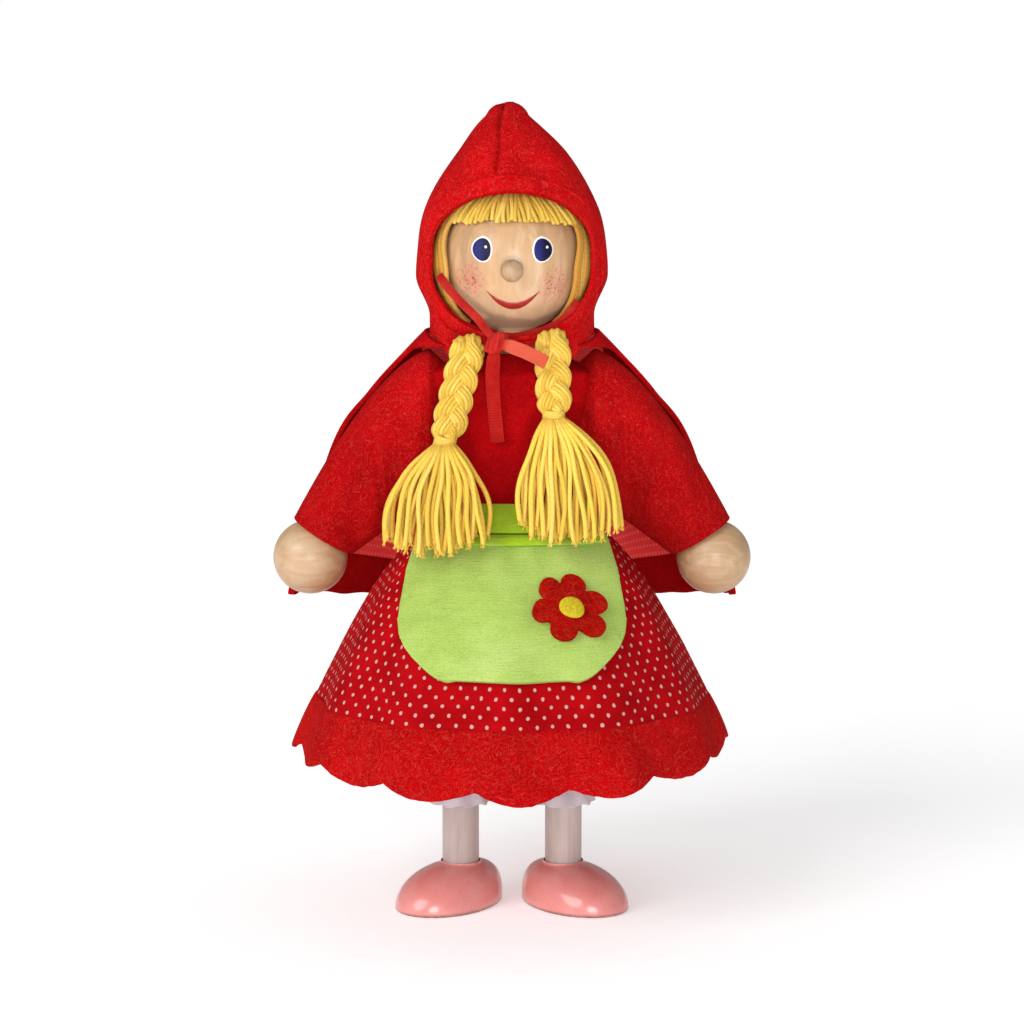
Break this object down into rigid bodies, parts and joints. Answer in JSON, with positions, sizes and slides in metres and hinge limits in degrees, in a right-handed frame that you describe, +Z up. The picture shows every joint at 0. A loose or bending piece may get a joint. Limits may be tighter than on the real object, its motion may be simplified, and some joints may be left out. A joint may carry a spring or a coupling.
{
  "type": "marionette",
  "caption": "Standing wooden marionette doll in a hooded felt cape, dotted skirt and apron, with a turning head, pinned arms and legs and swinging braids.",
  "frame": {"origin": "on the floor under the middle of the doll's bounding box", "axes": "+Z up, -Y the way the doll faces, +X the doll's left side"},
  "size_m": [0.1288, 0.1244, 0.2175],
  "materials": {
    "maple": "satin varnish",
    "white_stain": "white stain",
    "pink_paint": "gloss paint",
    "golden_yarn": "matte yarn",
    "red_felt": "fuzzy felt",
    "dotted_cotton": "printed with small white dots",
    "lime_velour": "ribbed velour",
    "yellow_felt": "fuzzy felt",
    "white_linen": "sheer cloth",
    "red_satin": "satin ribbon",
    "steel": "brushed"
  },
  "bodies": {
    "torso": {"torso_block": "maple", "hip_rivet": "steel", "shoulder_peg_left": "steel", "shoulder_peg_right": "steel", "bodice": "red_felt", "skirt": "dotted_cotton", "skirt_border": "red_felt", "apron": "lime_velour", "apron_band": "lime_velour", "flower": "red_felt", "flower_centre": "yellow_felt", "hood": "red_felt", "cape": "red_felt", "cape_hem": "red_felt", "ribbon_knot": "red_satin", "ribbon_strap_left": "red_satin", "ribbon_strap_right": "red_satin", "ribbon_tail_left": "red_satin", "ribbon_tail_right": "red_satin"},
    "head": {"head": "maple", "nose": "maple", "neck_dowel": "maple", "wig": "golden_yarn", "fringe": "golden_yarn"},
    "upper_arm_left": {"upper_arm_left": "maple", "elbow_pin_left": "steel", "sleeve_left": "red_felt"},
    "upper_arm_right": {"upper_arm_right": "maple", "elbow_pin_right": "steel", "sleeve_right": "red_felt"},
    "forearm_left": {"forearm_left": "maple", "hand_left": "maple"},
    "forearm_right": {"forearm_right": "maple", "hand_right": "maple"},
    "thigh_left": {"thigh_left": "white_stain", "knee_pin_left": "steel", "bloomer_left": "white_linen"},
    "thigh_right": {"thigh_right": "white_stain", "knee_pin_right": "steel", "bloomer_right": "white_linen"},
    "shin_left": {"shin_left": "white_stain", "shoe_left": "pink_paint"},
    "shin_right": {"shin_right": "white_stain", "shoe_right": "pink_paint"},
    "braid_left": {"braid_left": "golden_yarn", "braid_tie_left": "golden_yarn", "tassel_left": "golden_yarn"},
    "braid_right": {"braid_right": "golden_yarn", "braid_tie_right": "golden_yarn", "tassel_right": "golden_yarn"}
  },
  "joints": [
    {"name": "neck_turn", "type": "hinge", "parent": "torso", "child": "head", "pos_m": [0, 0, 0.15], "axis": [0, 0, 1], "range_deg": [-35, 35]},
    {"name": "shoulder_swing_left", "type": "hinge", "parent": "torso", "child": "upper_arm_left", "pos_m": [0.0248, 0, 0.143], "axis": [-1, 0, 0], "range_deg": [0, 80], "deforming": ["sleeve_left"]},
    {"name": "shoulder_swing_right", "type": "hinge", "parent": "torso", "child": "upper_arm_right", "pos_m": [-0.0248, 0, 0.143], "axis": [-1, 0, 0], "range_deg": [0, 80], "deforming": ["sleeve_right"]},
    {"name": "elbow_bend_left", "type": "hinge", "parent": "upper_arm_left", "child": "forearm_left", "pos_m": [0.03911, 0, 0.1201], "axis": [-0.848, 0, -0.5299], "range_deg": [0, 65], "deforming": ["sleeve_left"]},
    {"name": "elbow_bend_right", "type": "hinge", "parent": "upper_arm_right", "child": "forearm_right", "pos_m": [-0.03911, 0, 0.1201], "axis": [-0.848, 0, 0.5299], "range_deg": [0, 65], "deforming": ["sleeve_right"]},
    {"name": "hip_swing_left", "type": "hinge", "parent": "torso", "child": "thigh_left", "pos_m": [0.014, 0, 0.088], "axis": [-1, 0, 0], "range_deg": [-30, 35]},
    {"name": "hip_swing_right", "type": "hinge", "parent": "torso", "child": "thigh_right", "pos_m": [-0.014, 0, 0.088], "axis": [-1, 0, 0], "range_deg": [-30, 35]},
    {"name": "knee_bend_left", "type": "hinge", "parent": "thigh_left", "child": "shin_left", "pos_m": [0.014, 0, 0.053], "axis": [1, 0, 0], "range_deg": [0, 60], "deforming": ["bloomer_left"]},
    {"name": "knee_bend_right", "type": "hinge", "parent": "thigh_right", "child": "shin_right", "pos_m": [-0.014, 0, 0.053], "axis": [1, 0, 0], "range_deg": [0, 60], "deforming": ["bloomer_right"]},
    {"name": "braid_swing_left", "type": "hinge", "parent": "torso", "child": "braid_left", "pos_m": [0.0108, -0.0189, 0.1537], "axis": [-1, 0, 0], "range_deg": [0, 25]},
    {"name": "braid_swing_right", "type": "hinge", "parent": "torso", "child": "braid_right", "pos_m": [-0.0114, -0.0189, 0.1537], "axis": [-1, 0, 0], "range_deg": [0, 25]}
  ]
}
